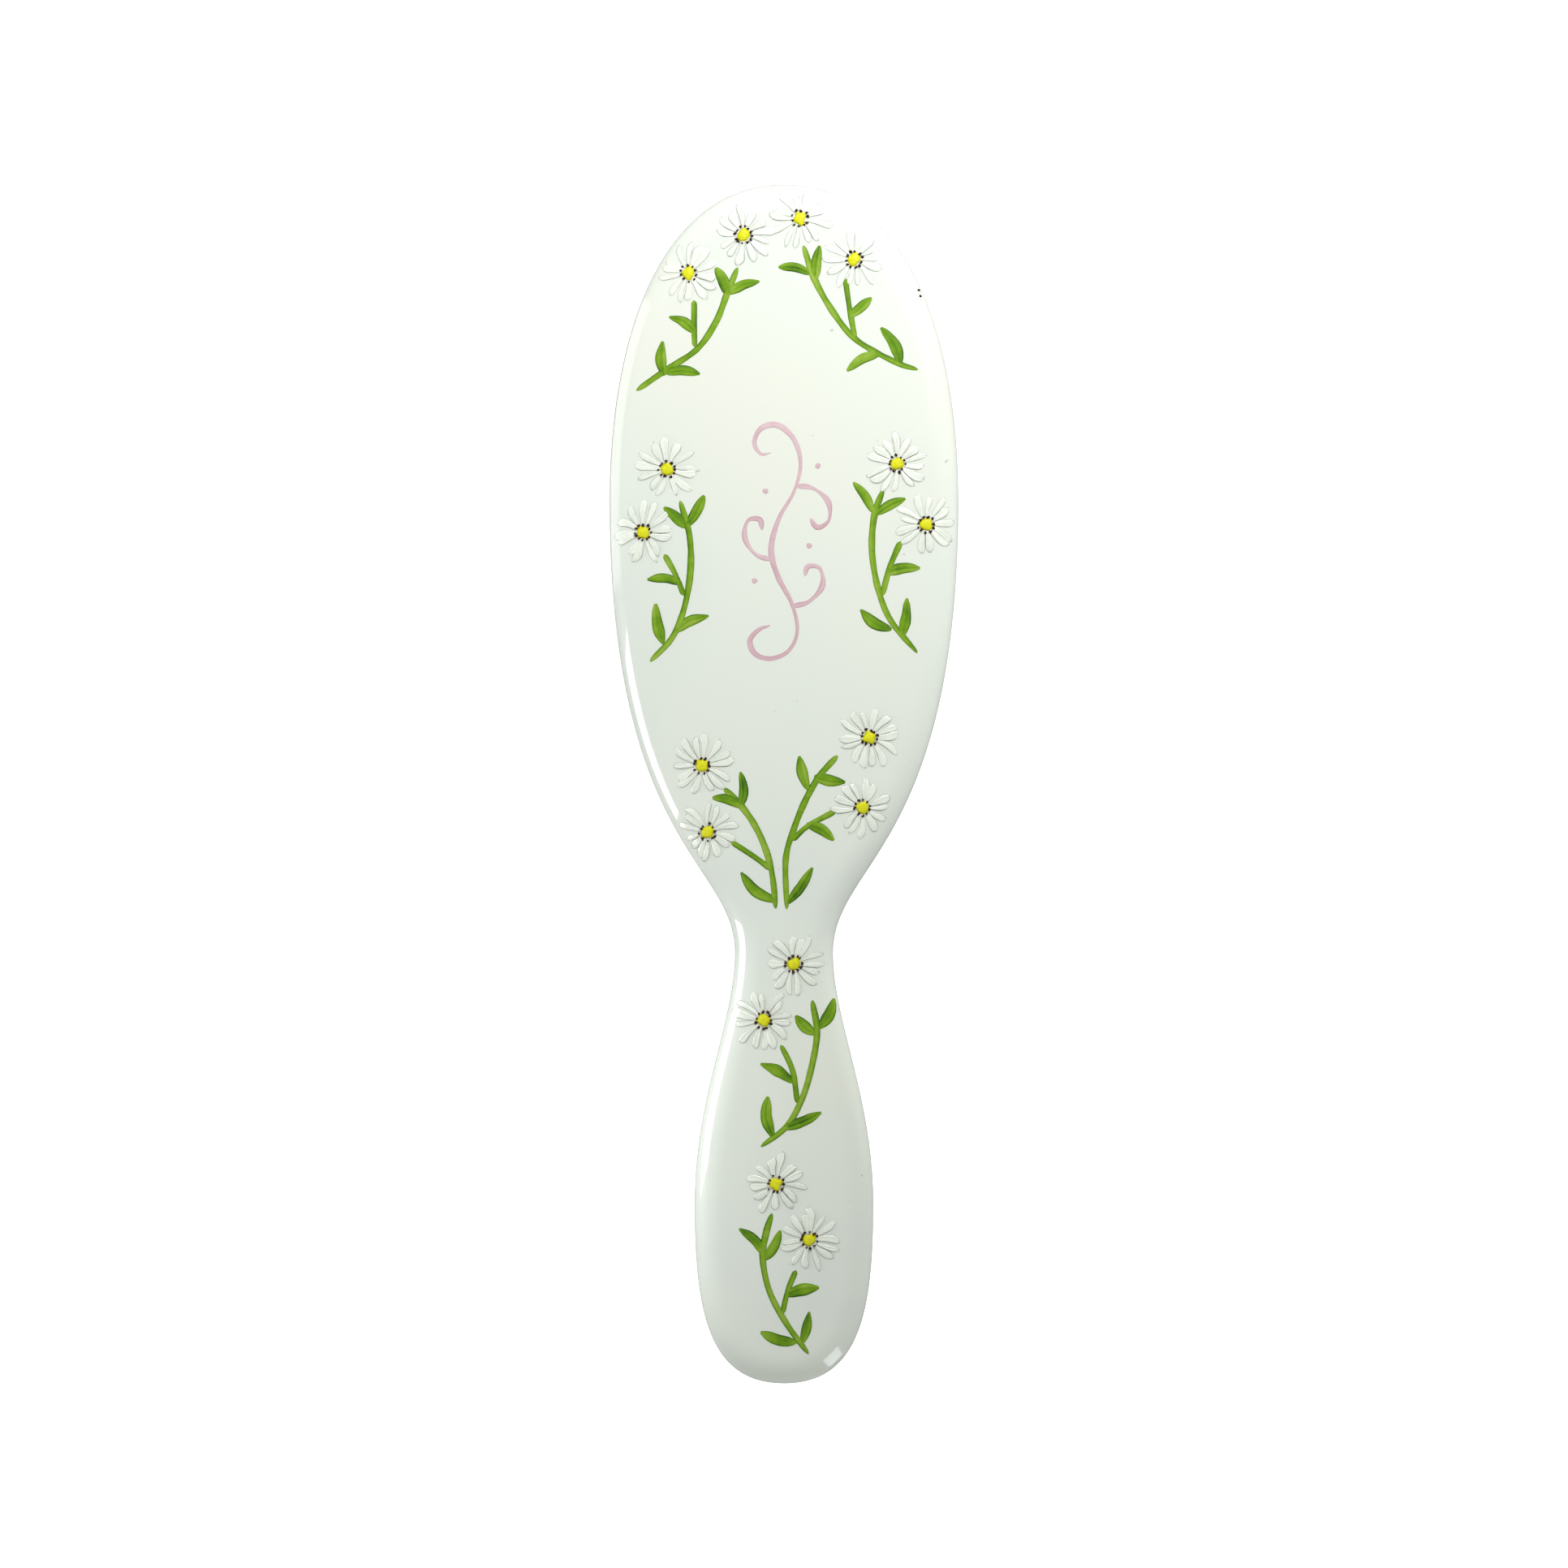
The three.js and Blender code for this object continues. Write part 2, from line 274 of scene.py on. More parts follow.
class Nodes:
    """Builds one material's node tree with a Principled shader."""

    def __init__(self, name, **inputs):
        self.material = bpy.data.materials.new(name)
        self.material.use_nodes = True
        self.tree = self.material.node_tree
        self.shader = self.tree.nodes["Principled BSDF"]
        for key, value in inputs.items():
            self.shader.inputs[key.replace("_", " ")].default_value = value

    def add(self, kind, **settings):
        """A new node. Each setting is one of its properties or, if it has no such property, an input."""
        node = self.tree.nodes.new(kind)
        for key, value in settings.items():
            if hasattr(node, key):
                setattr(node, key, value)
            else:
                node.inputs[key.replace("_", " ")].default_value = value
        return node

    def link(self, source, target):
        self.tree.links.new(source, target)

    def place(self):
        """Places in the object's own coordinates."""
        return self.add("ShaderNodeTexCoord").outputs["Object"]

    def noise(self, scale, detail=3.0):
        texture = self.add("ShaderNodeTexNoise", Scale=scale, Detail=detail)
        self.link(self.place(), texture.inputs["Vector"])
        return texture.outputs["Fac"]

    def ramp(self, factor, stops):
        """A colour between stops, each a position and a colour."""
        node = self.add("ShaderNodeValToRGB")
        ramp = node.color_ramp
        while len(ramp.elements) < len(stops):
            ramp.elements.new(0.5)
        for element, (position, color) in zip(ramp.elements, stops):
            element.position = position
            element.color = (*color, 1)
        self.link(factor, node.inputs["Fac"])
        return node.outputs["Color"]

    def mix(self, factor, first, second):
        """From the linked colour first to the plain colour second."""
        node = self.add("ShaderNodeMix", data_type="RGBA")
        sockets = [s for s in node.inputs if s.enabled]
        self.link(factor, sockets[0])
        self.link(first, sockets[1])
        sockets[2].default_value = (*second, 1)
        return next(s for s in node.outputs if s.enabled)

    def bump(self, height, distance, strength):
        node = self.add("ShaderNodeBump", Distance=distance, Strength=strength)
        self.link(height, node.inputs["Height"])
        for socket in ("Normal", "Coat Normal"):
            self.link(node.outputs["Normal"], self.shader.inputs[socket])

    def paint(self, color):
        self.link(color, self.shader.inputs["Base Color"])

    def roughness(self, factor, low, high):
        node = self.add("ShaderNodeMapRange")
        node.inputs["To Min"].default_value = low
        node.inputs["To Max"].default_value = high
        self.link(factor, node.inputs["Value"])
        self.link(node.outputs["Result"], self.shader.inputs["Roughness"])


LACQUER_WHITE = (0.70, 0.74, 0.675)
LACQUER_COOL = (0.67, 0.715, 0.66)
LACQUER_WARM = (0.72, 0.745, 0.67)
LACQUER_SPECK = (0.52, 0.53, 0.47)


def lacquer_material():
    """White paint with faint clouds of tone and rare grey specks, under clear varnish."""
    m = Nodes("white_lacquer", Roughness=0.3, Specular_IOR_Level=0.2,
              Coat_Weight=1.0, Coat_Roughness=0.03, Coat_IOR=1.6)
    cloud = m.ramp(m.noise(22, 2.0), [(0.35, LACQUER_COOL), (0.5, LACQUER_WHITE), (0.68, LACQUER_WARM)])
    speck = m.ramp(m.noise(620, 1.0), [(0.795, (0, 0, 0)), (0.82, (1, 1, 1))])
    m.paint(m.mix(speck, cloud, LACQUER_SPECK))
    m.bump(m.noise(130, 2.0), 0.03 * MM, 0.35)
    return m.material


def rubber_material():
    """Matt pale rubber."""
    m = Nodes("pale_rubber", Specular_IOR_Level=0.35)
    m.paint(m.ramp(m.noise(90, 4.0), [(0.3, (0.60, 0.52, 0.46)), (0.7, (0.70, 0.63, 0.57))]))
    m.roughness(m.noise(240, 3.0), 0.5, 0.68)
    m.bump(m.noise(2600, 2.0), 0.02 * MM, 0.5)
    return m.material


def nylon_material():
    """Slightly glossy off-white plastic."""
    m = Nodes("white_nylon", Specular_IOR_Level=0.5)
    m.paint(m.ramp(m.noise(160, 2.0), [(0.3, (0.80, 0.79, 0.75)), (0.7, (0.88, 0.87, 0.83))]))
    m.roughness(m.noise(700, 2.0), 0.22, 0.36)
    m.bump(m.noise(1400, 2.0), 0.01 * MM, 0.3)
    return m.material


def cloth_material():
    """Thin unbleached cloth in plain weave."""
    m = Nodes("lining_cloth", Roughness=0.9)
    weave = m.add("ShaderNodeMath", operation="MULTIPLY")
    for socket, direction in zip(weave.inputs, "XY"):
        threads = m.add("ShaderNodeTexWave", bands_direction=direction, Scale=520.0, Distortion=0.6)
        m.link(m.place(), threads.inputs["Vector"])
        m.link(threads.outputs["Fac"], socket)
    m.paint(m.ramp(weave.outputs[0], [(0.0, (0.48, 0.43, 0.35)), (0.7, (0.72, 0.67, 0.57))]))
    m.bump(weave.outputs[0], 0.1 * MM, 0.6)
    return m.material


# How much the brush's marks change the tone.
MARKS_SHARE = 0.5


def brushed_paint(name, stops, grain, relief, **inputs):
    """Paint whose colour follows each stroke's own tone, broken up by the marks of the brush."""
    m = Nodes(name, **inputs)
    tone = m.add("ShaderNodeAttribute", attribute_name="tone").outputs["Fac"]
    marks = m.noise(grain, 3.0)
    shifted = m.add("ShaderNodeMath", operation="SUBTRACT")
    m.link(tone, shifted.inputs[0])
    shifted.inputs[1].default_value = MARKS_SHARE / 2
    broken = m.add("ShaderNodeMath", operation="MULTIPLY_ADD")
    m.link(marks, broken.inputs[0])
    broken.inputs[1].default_value = MARKS_SHARE
    m.link(shifted.outputs[0], broken.inputs[2])
    m.paint(m.ramp(broken.outputs[0], stops))
    m.bump(marks, relief, 0.5)
    return m.material


# Each paint's colours, from its darkest tone to its lightest. The petals' grey darkest stops are painted
# shade for their contours.
PETAL_STOPS = [(0.0, (0.27, 0.30, 0.27)), (0.2, (0.52, 0.56, 0.50)),
               (0.5, (0.705, 0.745, 0.665)), (1.0, (0.83, 0.85, 0.765))]
CENTRE_STOPS = [(0.0, (0.34, 0.30, 0.003)), (0.45, (0.60, 0.59, 0.004)), (1.0, (0.78, 0.79, 0.03))]
DOT_STOPS = [(0.0, (0.012, 0.004, 0.001)), (1.0, (0.07, 0.02, 0.004))]
GREEN_STOPS = [(0.0, (0.018, 0.075, 0.002)), (0.3, (0.080, 0.195, 0.003)),
               (0.6, (0.155, 0.30, 0.006)), (1.0, (0.28, 0.40, 0.055))]
PINK_STOPS = [(0.0, (0.48, 0.285, 0.325)), (0.45, (0.575, 0.395, 0.437)), (1.0, (0.67, 0.55, 0.56))]


def paint_materials():
    """The paints: the petals' is thick and glossy, the others are thin and matt."""
    matt = dict(Roughness=0.5, Specular_IOR_Level=0.15, Coat_Weight=0.08, Coat_Roughness=0.1)
    glossy = dict(Roughness=0.3, Specular_IOR_Level=0.3, Coat_Weight=1.0, Coat_Roughness=0.06)
    return {
        "petal": brushed_paint("petal_paint", PETAL_STOPS, 1100, 0.05 * MM, **glossy),
        "centre": brushed_paint("flower_centre_paint", CENTRE_STOPS, 1500, 0.08 * MM, **matt),
        "dot": brushed_paint("seed_dot_paint", DOT_STOPS, 1500, 0.03 * MM, **matt),
        "green": brushed_paint("leaf_paint", GREEN_STOPS, 900, 0.04 * MM, **matt),
        "pink": brushed_paint("flourish_paint", PINK_STOPS, 700, 0.03 * MM, **matt),
    }


# ---- The wooden body ----

EDGE_STEPS = 12
BODY_DIVISIONS = 190
BACK_COLUMNS = 24
# Loops on the back between its rounded edge and the grid over its middle.
BACK_LOOP_INSETS = (5.8 * MM, 6.6 * MM, 7.4 * MM)


def level_back(y):
    return np.full(np.shape(y), BACK_Z)


def no_dome(inset):
    return 0


def back_dome(inset):
    """How far the dome alone lies below the back's highest level."""
    return DOME_HEIGHT * (1 - min(inset / DOME_WIDTH, 1)) ** 2


def edge_loops(half, width, depth, sign, height, dome):
    """Loops round an edge, from the flat to the side. The edge is a quarter of an ellipse."""
    loops = []
    for step in range(EDGE_STEPS + 1):
        angle = step / EDGE_STEPS * math.pi / 2
        inset = width * (1 - math.sin(angle))
        drop = depth * (1 - math.cos(angle)) + dome(inset)
        loops.append(loop(half, inset, lambda y, d=drop: height(y) + sign * d))
    return loops


def recess_cutter():
    """The space of the recess: a chamfered mouth, a groove for the bead and a flat floor."""
    pad = pad_outline(PAD_DIVISIONS)
    below = RIM_Z - 2 * MOUTH_CHAMFER
    groove_z = RIM_Z + MOUTH_DEPTH
    groove_top = groove_z + GROOVE_HEIGHT
    floor_z = RIM_Z + RECESS_DEPTH
    return skin("recess_cutter", [
        loop(pad, -3 * MOUTH_CHAMFER, below),
        loop(pad, 0, RIM_Z + MOUTH_CHAMFER),
        loop(pad, 0, groove_z),
        loop(pad, -GROOVE_DEPTH, groove_z),
        loop(pad, -GROOVE_DEPTH, groove_top),
        loop(pad, 0, groove_top),
        loop(pad, 0, floor_z),
    ], (2, flat(below)), (2, flat(floor_z)))


def build_body(lacquer):
    """The lacquered wood: outline, rounded edges and slightly domed back, with the recess cut into it."""
    half = body_outline(BODY_DIVISIONS)
    loops = edge_loops(half, FACE_EDGE_RADIUS, FACE_EDGE_RADIUS, 1, underside, no_dome)
    loops += edge_loops(half, BACK_EDGE_WIDTH, BACK_EDGE_DEPTH, -1, level_back, back_dome)[::-1]
    for inset in BACK_LOOP_INSETS:
        loops.append(loop(half, inset, float(BACK_Z - back_drop(np.array([inset]))[0])))
    face_cap = (3, lambda x, y: underside(y))
    body = skin("brush_body_lacquered", loops, face_cap, (BACK_COLUMNS, back_height))
    cutter = recess_cutter()
    cut = body.modifiers.new("recess", "BOOLEAN")
    cut.object = cutter
    cut.solver = "EXACT"
    evaluated = body.evaluated_get(bpy.context.evaluated_depsgraph_get())
    mesh = bpy.data.meshes.new_from_object(evaluated)
    body.modifiers.clear()
    body.data = mesh
    bpy.data.objects.remove(cutter)
    mesh.shade_smooth()
    mesh.set_sharp_from_angle(angle=math.radians(25))
    mesh.materials.clear()
    mesh.materials.append(lacquer)
    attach(body, "body")
    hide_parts("brush_body")


# ---- The pins ----

PIN_SIDES = 20
BALL_STEPS = 10
BALL_TO_NECK = 0.3 * MM
PIN_TAPER_LENGTH = 3 * MM


def pin_field():
    """The pins as (row, x, y), in staggered rows from the tail to the crown."""
    points, outward = pad_outline(PAD_DIVISIONS)
    field = points - PIN_MARGIN * outward
    spacing = 2 * (PAD_HALF_WIDTH - PIN_MARGIN) / PINS_ACROSS
    row_spacing = (PAD_CROWN_Y - PAD_TAIL_Y - 2 * PIN_MARGIN) / PIN_ROWS
    places = []
    for row in range(PIN_ROWS):
        y = PAD_MIDDLE_Y + (row - (PIN_ROWS - 1) / 2) * row_spacing
        reach = np.interp(-y, -field[:, 1], field[:, 0])
        most = PINS_ACROSS - row % 2
        for k in range(most):
            x = (k - (most - 1) / 2) * spacing
            if abs(x) <= reach:
                places.append((row, x, y))
    return places, row_spacing


def pin_profile():
    """(radius, height) from the tip to the flat head, on a pin whose origin is the cushion's face."""
    tip = -PAD_FACE_Z
    ball = []
    for step in range(BALL_STEPS - 1):
        angle = step / BALL_STEPS * math.pi
        ball.append((PIN_BALL_RADIUS * math.sin(angle), tip + PIN_BALL_RADIUS * (1 - math.cos(angle))))
    neck_z = tip + 2 * PIN_BALL_RADIUS + BALL_TO_NECK
    head_z = RUBBER_WALL + FIT_GAP
    return ball + [
        (PIN_NECK_RADIUS, neck_z),
        (PIN_NECK_RADIUS * 1.08, neck_z + PIN_TAPER_LENGTH),
        (PIN_ROOT_RADIUS * 0.9, -PIN_TAPER_LENGTH),
        (PIN_ROOT_RADIUS, 0),
        (PIN_ROOT_RADIUS, head_z),
        (PIN_HEAD_RADIUS, head_z),
        (PIN_HEAD_RADIUS, head_z + PIN_HEAD_THICKNESS),
        (0, head_z + PIN_HEAD_THICKNESS),
    ]


def pin_axes(x, y):
    """The pin's own directions: it leans outwards, the more the further it is from the middle."""
    outwards = math.hypot(x / PAD_HALF_WIDTH, (y - PAD_MIDDLE_Y) / (PAD_CROWN_Y - PAD_MIDDLE_Y))
    lean = PIN_SPLAY * min(1, outwards)
    heading = math.atan2(y - PAD_MIDDLE_Y, x)
    away = np.array([math.cos(heading), math.sin(heading), 0])
    side = np.array([-math.sin(heading), math.cos(heading), 0])
    up = np.array([0, 0, 1])
    axis = up * math.cos(lean) - away * math.sin(lean)
    across = away * math.cos(lean) + up * math.sin(lean)
    return across, side, axis


def build_pin_row(row, places, nylon):
    """One row of pins, each turned from its profile, as one piece."""
    profile = pin_profile()
    verts, faces = [], []
    for x, y in places:
        across, side, axis = pin_axes(x, y)
        base = np.array([x, y, PAD_FACE_Z])
        rings = []
        for radius, height in profile:
            start = len(verts)
            turns = 1 if radius == 0 else PIN_SIDES
            for k in range(turns):
                angle = 2 * math.pi * k / PIN_SIDES
                outwards = across * math.cos(angle) + side * math.sin(angle)
                verts.append(base + axis * height + radius * outwards)
            rings.append(range(start, start + turns))
        for low, high in zip(rings, rings[1:]):
            for k in range(PIN_SIDES):
                n = (k + 1) % PIN_SIDES
                if len(low) == 1:
                    faces.append((low[0], high[n], high[k]))
                elif len(high) == 1:
                    faces.append((low[k], low[n], high[0]))
                else:
                    faces.append((low[k], low[n], high[n], high[k]))
    pins = make_object(f"pins_row_{row + 1:02d}", verts, faces)
    pins.data.materials.append(nylon)
    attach(pins, "pin_bed")
    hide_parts(*[f"pin_r{row + 1:02d}_c{k + 1}" for k in range(len(places))])


# ---- The rubber cushion ----

SHOULDER_STEPS = 14
CUSHION_DIVISIONS = 210
CUSHION_COLUMNS = 84
# The raised collar round each pin.
COLLAR_HEIGHT = 0.45 * MM
COLLAR_RADIUS = 1.9 * MM
# The vent: a dimple with a raised lip round it.
VENT_RADIUS = 1 * MM
VENT_DEPTH = 0.8 * RUBBER_WALL
VENT_LIP = 0.3 * MM


def shoulder_drop(inset, width, rise):
    """How far the cushion stands out from the rim's level, at an inset from its dome's edge."""
    from_top = 1 - np.minimum(inset / width, 1)
    return rise * (1 - from_top**PAD_SHOULDER_POWER) ** (1 / PAD_SHOULDER_POWER)


def build_cushion(places, row_spacing, rubber):
    """The moulded cushion: face, shoulder, bead in the groove, and its hollow inside."""
    pad = pad_outline(CUSHION_DIVISIONS)
    middle = np.array([(x, y) for _, x, y in places])
    vent = (0, PAD_MIDDLE_Y + row_spacing / 2)

    def face(x, y):
        """The outer face: flat, with a raised collar round each pin and a dimple at the vent."""
        gap = np.hypot(x[:, None] - middle[:, 0], y[:, None] - middle[:, 1]).min(axis=1)
        collar = COLLAR_HEIGHT * np.clip(1 - (gap / COLLAR_RADIUS) ** 2, 0, 1) ** 2
        hole = np.hypot(x - vent[0], y - vent[1])
        lip = VENT_LIP * np.exp(-(((hole - 1.6 * VENT_RADIUS) / (0.5 * VENT_RADIUS)) ** 2))
        pit = VENT_DEPTH * np.clip(1 - (hole / VENT_RADIUS) ** 4, 0, 1)
        return PAD_FACE_Z - collar - lip + pit

    def shoulder(start, width, rise):
        """Loops from the rim's level down the shoulder to the face, from an inset of start inwards."""
        loops = []
        for step in range(SHOULDER_STEPS + 1):
            inset = width * (1 - math.cos(step / SHOULDER_STEPS * math.pi / 2))
            loops.append(loop(pad, start + inset, RIM_Z - shoulder_drop(inset, width, rise)))
        return loops

    outer = shoulder(FIT_GAP, PAD_SHOULDER_WIDTH, PAD_RISE)
    inner = shoulder(FIT_GAP + RUBBER_WALL, PAD_SHOULDER_WIDTH - RUBBER_WALL, PAD_RISE - RUBBER_WALL)
    bead_low = RIM_Z + MOUTH_DEPTH + FIT_GAP
    bead_high = RIM_Z + MOUTH_DEPTH + GROOVE_HEIGHT - FIT_GAP
    bead = [
        loop(pad, FIT_GAP, bead_low),
        loop(pad, FIT_GAP - GROOVE_DEPTH, bead_low),
        loop(pad, FIT_GAP - GROOVE_DEPTH, bead_high),
        loop(pad, FIT_GAP + RUBBER_WALL, bead_high),
    ]
    inner_z = PAD_FACE_Z + RUBBER_WALL
    loops = outer[::-1] + bead + inner
    cushion = skin("rubber_cushion_moulded", loops, (CUSHION_COLUMNS, face), (8, flat(inner_z)), 50)
    cushion.data.materials.append(rubber)
    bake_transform(cushion)
    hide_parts("rubber_cushion")


def build_lining(cloth):
    """The cloth over the pins' heads."""
    pad = pad_outline(90)
    top_z = LINING_Z + LINING_THICKNESS
    loops = [loop(pad, LINING_INSET, LINING_Z), loop(pad, LINING_INSET, top_z)]
    lining = skin("cushion_lining_cloth", loops, (12, flat(LINING_Z)), (12, flat(top_z)))
    lining.data.materials.append(cloth)
    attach(lining, "pin_bed")
    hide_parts("cushion_lining")


# ---- The painted decoration ----

# The strokes' edges lie this far inside the lacquer.
SINK = 0.04 * MM
# Paint never lies nearer to the outline than this.
PAINT_EDGE_MARGIN = 0.25 * MM
STROKE_STEP = 0.4 * MM
STROKE_COLUMNS = 11
SWAY_LENGTH = 2.6 * MM


class Strokes:
    """Gathers raised strokes of one paint into one mesh that lies on the brush's back."""

    def __init__(self):
        self.verts, self.faces, self.tones = [], [], []

    def add_points(self, x, y, raised, tone):
        """Adds points at a height above the back and returns the first one's number."""
        x, y, raised, tone = (np.asarray(v, float).ravel() for v in (x, y, raised, tone))
        inset = np.maximum(distance_to_edge(x, y), PAINT_EDGE_MARGIN)
        z = BACK_Z - back_drop(inset) + raised
        start = len(self.verts)
        self.verts.extend(zip(x, y, z))
        self.tones.extend(tone)
        return start

    def add_grid(self, x, y, raised, tone):
        """A stroke as a grid of rows along it and columns across it, closed underneath."""
        rows, columns = np.shape(x)
        start = self.add_points(x, y, raised, tone)
        point = (start + np.arange(rows * columns)).reshape(rows, columns).tolist()
        for near, far in zip(point, point[1:]):
            for j in range(columns - 1):
                self.faces.append((near[j], near[j + 1], far[j + 1], far[j]))
            self.faces.append((near[0], far[0], far[-1], near[-1]))
        self.faces.append(tuple(point[0]))
        self.faces.append(tuple(reversed(point[-1])))

    def add_dome(self, middle, radius, height, rng, roughness, tone, sides=14, rings=4):
        """A small round blob. roughness is how far its outline strays from a circle."""
        wobble = [rng.uniform(-roughness, roughness) for _ in range(3)]
        start = self.add_points([middle[0]], [middle[1]], [height], [tone])
        previous = None
        for ring in range(1, rings + 1):
            share = ring / rings
            angles = np.arange(sides) / sides * 2 * math.pi
            bulge = sum(w * np.cos((k + 2) * angles + 5 * w / roughness) for k, w in enumerate(wobble))
            reach = radius * share * (1 + bulge * share)
            raised = height * math.sqrt(max(1 - share**2, 0)) - (SINK if ring == rings else 0)
            lumps = np.array([rng.uniform(-1, 1) for _ in range(sides)]) * height * 0.12 * (ring < rings)
            x = middle[0] + reach * np.cos(angles)
            y = middle[1] + reach * np.sin(angles)
            # Its tone is painted light and shade: lighter on the raised lumps and darker towards the rim.
            shade = np.clip(tone + lumps / height - 0.3 * share**4, 0, 1)
            first = self.add_points(x, y, raised + lumps, shade)
            for k in range(sides):
                n = (k + 1) % sides
                if previous is None:
                    self.faces.append((start, first + k, first + n))
                else:
                    self.faces.append((previous + k, first + k, first + n, previous + n))
            previous = first
        self.faces.append(tuple(previous + k for k in reversed(range(sides))))

    def finish(self, name, material, slot):
        """Makes the piece. Its tone goes into an attribute that the paint's material reads."""
        piece = make_object(name, self.verts, self.faces, 60)
        attribute = piece.data.attributes.new("tone", "FLOAT", "POINT")
        attribute.data.foreach_set("value", np.array(self.tones, np.float32))
        piece.data.materials.append(material)
        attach(piece, "body")


def smooth_path(points, step):
    """Evenly spaced places and directions on a smooth curve through the points."""
    points = np.array(points, float)
    padded = np.vstack([2 * points[0] - points[1], points, 2 * points[-1] - points[-2]])
    t = np.linspace(0, 1, 40, endpoint=False)[:, None]
    curve = []
    for a, b, c, d in zip(padded, padded[1:], padded[2:], padded[3:]):
        second, third = 2 * a - 5 * b + 4 * c - d, 3 * b - 3 * c + d - a
        curve.append(0.5 * (2 * b + (c - a) * t + second * t**2 + third * t**3))
    curve = np.vstack(curve + [points[-1:]])
    run = np.concatenate([[0], np.cumsum(np.linalg.norm(np.diff(curve, axis=0), axis=1))])
    count = max(int(run[-1] / step), 4)
    wanted = np.linspace(0, run[-1], count + 1)
    places = np.stack([np.interp(wanted, run, curve[:, k]) for k in (0, 1)], axis=1)
    along = np.gradient(places, axis=0)
    along /= np.linalg.norm(along, axis=1)[:, None]
    return places, along, run[-1]


def brush_stroke(strokes, points, width, height, profile, rng, tone, vein=0.0):
    """A stroke of paint along a path in millimetres. profile shapes its ends, and vein darkens its middle.

    width and height are the stroke's largest, in metres.
    """
    places, along, length = smooth_path([(x * MM, y * MM) for x, y in points], STROKE_STEP)
    share = np.linspace(0, 1, len(places))
    across = np.linspace(-1, 1, STROKE_COLUMNS)
    seed = rng.uniform(0, 90)
    sway = np.array([noise.noise(Vector((s * length / SWAY_LENGTH, seed, 0))) for s in share])
    half = 0.5 * width * profile(share) * (1 + 0.2 * sway)
    fuller = 1 + rng.uniform(-0.14, 0.14) * np.sign(across)
    normal = np.stack([-along[:, 1], along[:, 0]], axis=1)
    x = places[:, 0:1] + normal[:, 0:1] * half[:, None] * across * fuller
    y = places[:, 1:2] + normal[:, 1:2] * half[:, None] * across * fuller
    marks = bristle_marks(across, rng)
    relief = (1 - across**6) * (0.8 + 0.2 * marks)
    load = height * np.sqrt(np.clip(profile(share), 0, 1))[:, None]
    raised = load * relief - SINK * (np.abs(across) == 1)
    # Painted shade: both edges of the stroke are darkened, and one side of it, chosen at random, more so.
    shaded_side = rng.choice((-1, 1))
    thin = np.clip((np.abs(across) - 0.55) / 0.45, 0, 1)
    shade = tone - 0.55 * thin**1.5 - 0.34 * np.clip(shaded_side * across, 0, 1) + 0.15 * marks
    shade = shade - vein * np.exp(-((across / 0.2) ** 2))
    drift = 0.22 * sway[:, None] + 0.12 * np.sin(5 * share + rng.uniform(0, 6))[:, None]
    strokes.add_grid(x, y, raised, np.clip(shade + drift, 0, 1))


def bristle_marks(across, rng):
    """The furrows that the hairs of a paint brush leave, as heights from -1 to 1 across a stroke."""
    return sum(np.cos(k * across * math.pi + rng.uniform(0, 6)) for k in (1.3, 2.6, 4.1)) / 3


def even(share):
    """An even stroke with round ends."""
    return np.clip(1 - (2 * share - 1) ** 14, 0.05, 1) ** 0.5


def tapering(share):
    """A stroke that starts a little thinner than it goes on."""
    return (0.84 + 0.16 * share) * even(share)


def leafy(share):
    """A pointed leaf, fullest near its middle."""
    return np.clip(np.sin(math.pi * share**0.9), 0.06, 1) ** 0.52


STEM_WIDTH = 1.36 * MM
SIDE_STEM_WIDTH = 0.85 * STEM_WIDTH
STEM_HEIGHT = 0.10 * MM
LEAF_WIDTH = 2.15 * MM
LEAF_HEIGHT = 1.3 * STEM_HEIGHT
# How far a leaf starts below its base, so that it joins its stem. In millimetres, as the sprigs are.
LEAF_FOOT = 0.8

PETAL_COUNTS = (13, 13, 14, 14)
PETAL_REACH = 5.7 * MM
PETAL_ROOT = 1.2 * MM
PETAL_WIDTH = 1.55 * MM
PETAL_HEIGHT = 0.26 * MM
PETAL_EDGE_MARGIN = 0.9 * MM
PETAL_COLUMNS = 19
PETAL_ROWS = 18

CENTRE_RADIUS = 1.25 * MM
CENTRE_HEIGHT = 0.42 * MM
DOT_COUNTS = (10, 11, 12)
DOT_RING = 1.45 * MM
DOT_HEIGHT = 0.5 * MM
# The smallest and the largest dot, in millimetres.
DOT_RADII = (0.22, 0.35)

FLOURISH_WIDTH = 1.2 * MM
FLOURISH_HEIGHT = 0.05 * MM
FLOURISH_DOT_RADIUS = 0.6 * MM
FLOURISH_DOT_HEIGHT = 0.06 * MM
# The dark dabs of painted shade at the head's right edge.
EDGE_SHADE_DAB_RADIUS = 0.28 * MM
EDGE_SHADE_DAB_HEIGHT = 0.05 * MM


def add_leaf(greens, base, tip, rng):
    """A leaf from its base to its tip, bowed a little to one side."""
    base, tip = np.array(base), np.array(tip)
    base = base - LEAF_FOOT * (tip - base) / np.linalg.norm(tip - base)
    side = np.array([-(tip - base)[1], (tip - base)[0]]) * rng.uniform(-0.12, 0.12)
    middle = (base + tip) / 2 + side
    vein = rng.choice((0, 0.2, 0.35))
    width = LEAF_WIDTH * rng.uniform(0.88, 1.08)
    tone = rng.uniform(0.55, 0.8)
    brush_stroke(greens, [base, middle, tip], width, LEAF_HEIGHT, leafy, rng, tone, vein)


def petal_room(middle, angle, reach):
    """How far a petal can reach at that angle before it comes to the edge of the back."""
    radii = np.linspace(PETAL_ROOT, reach, 24)
    gaps = distance_to_edge(middle[0] + radii * math.cos(angle), middle[1] + radii * math.sin(angle))
    outside = np.flatnonzero(gaps < PETAL_EDGE_MARGIN)
    return radii[outside[0]] if len(outside) else reach


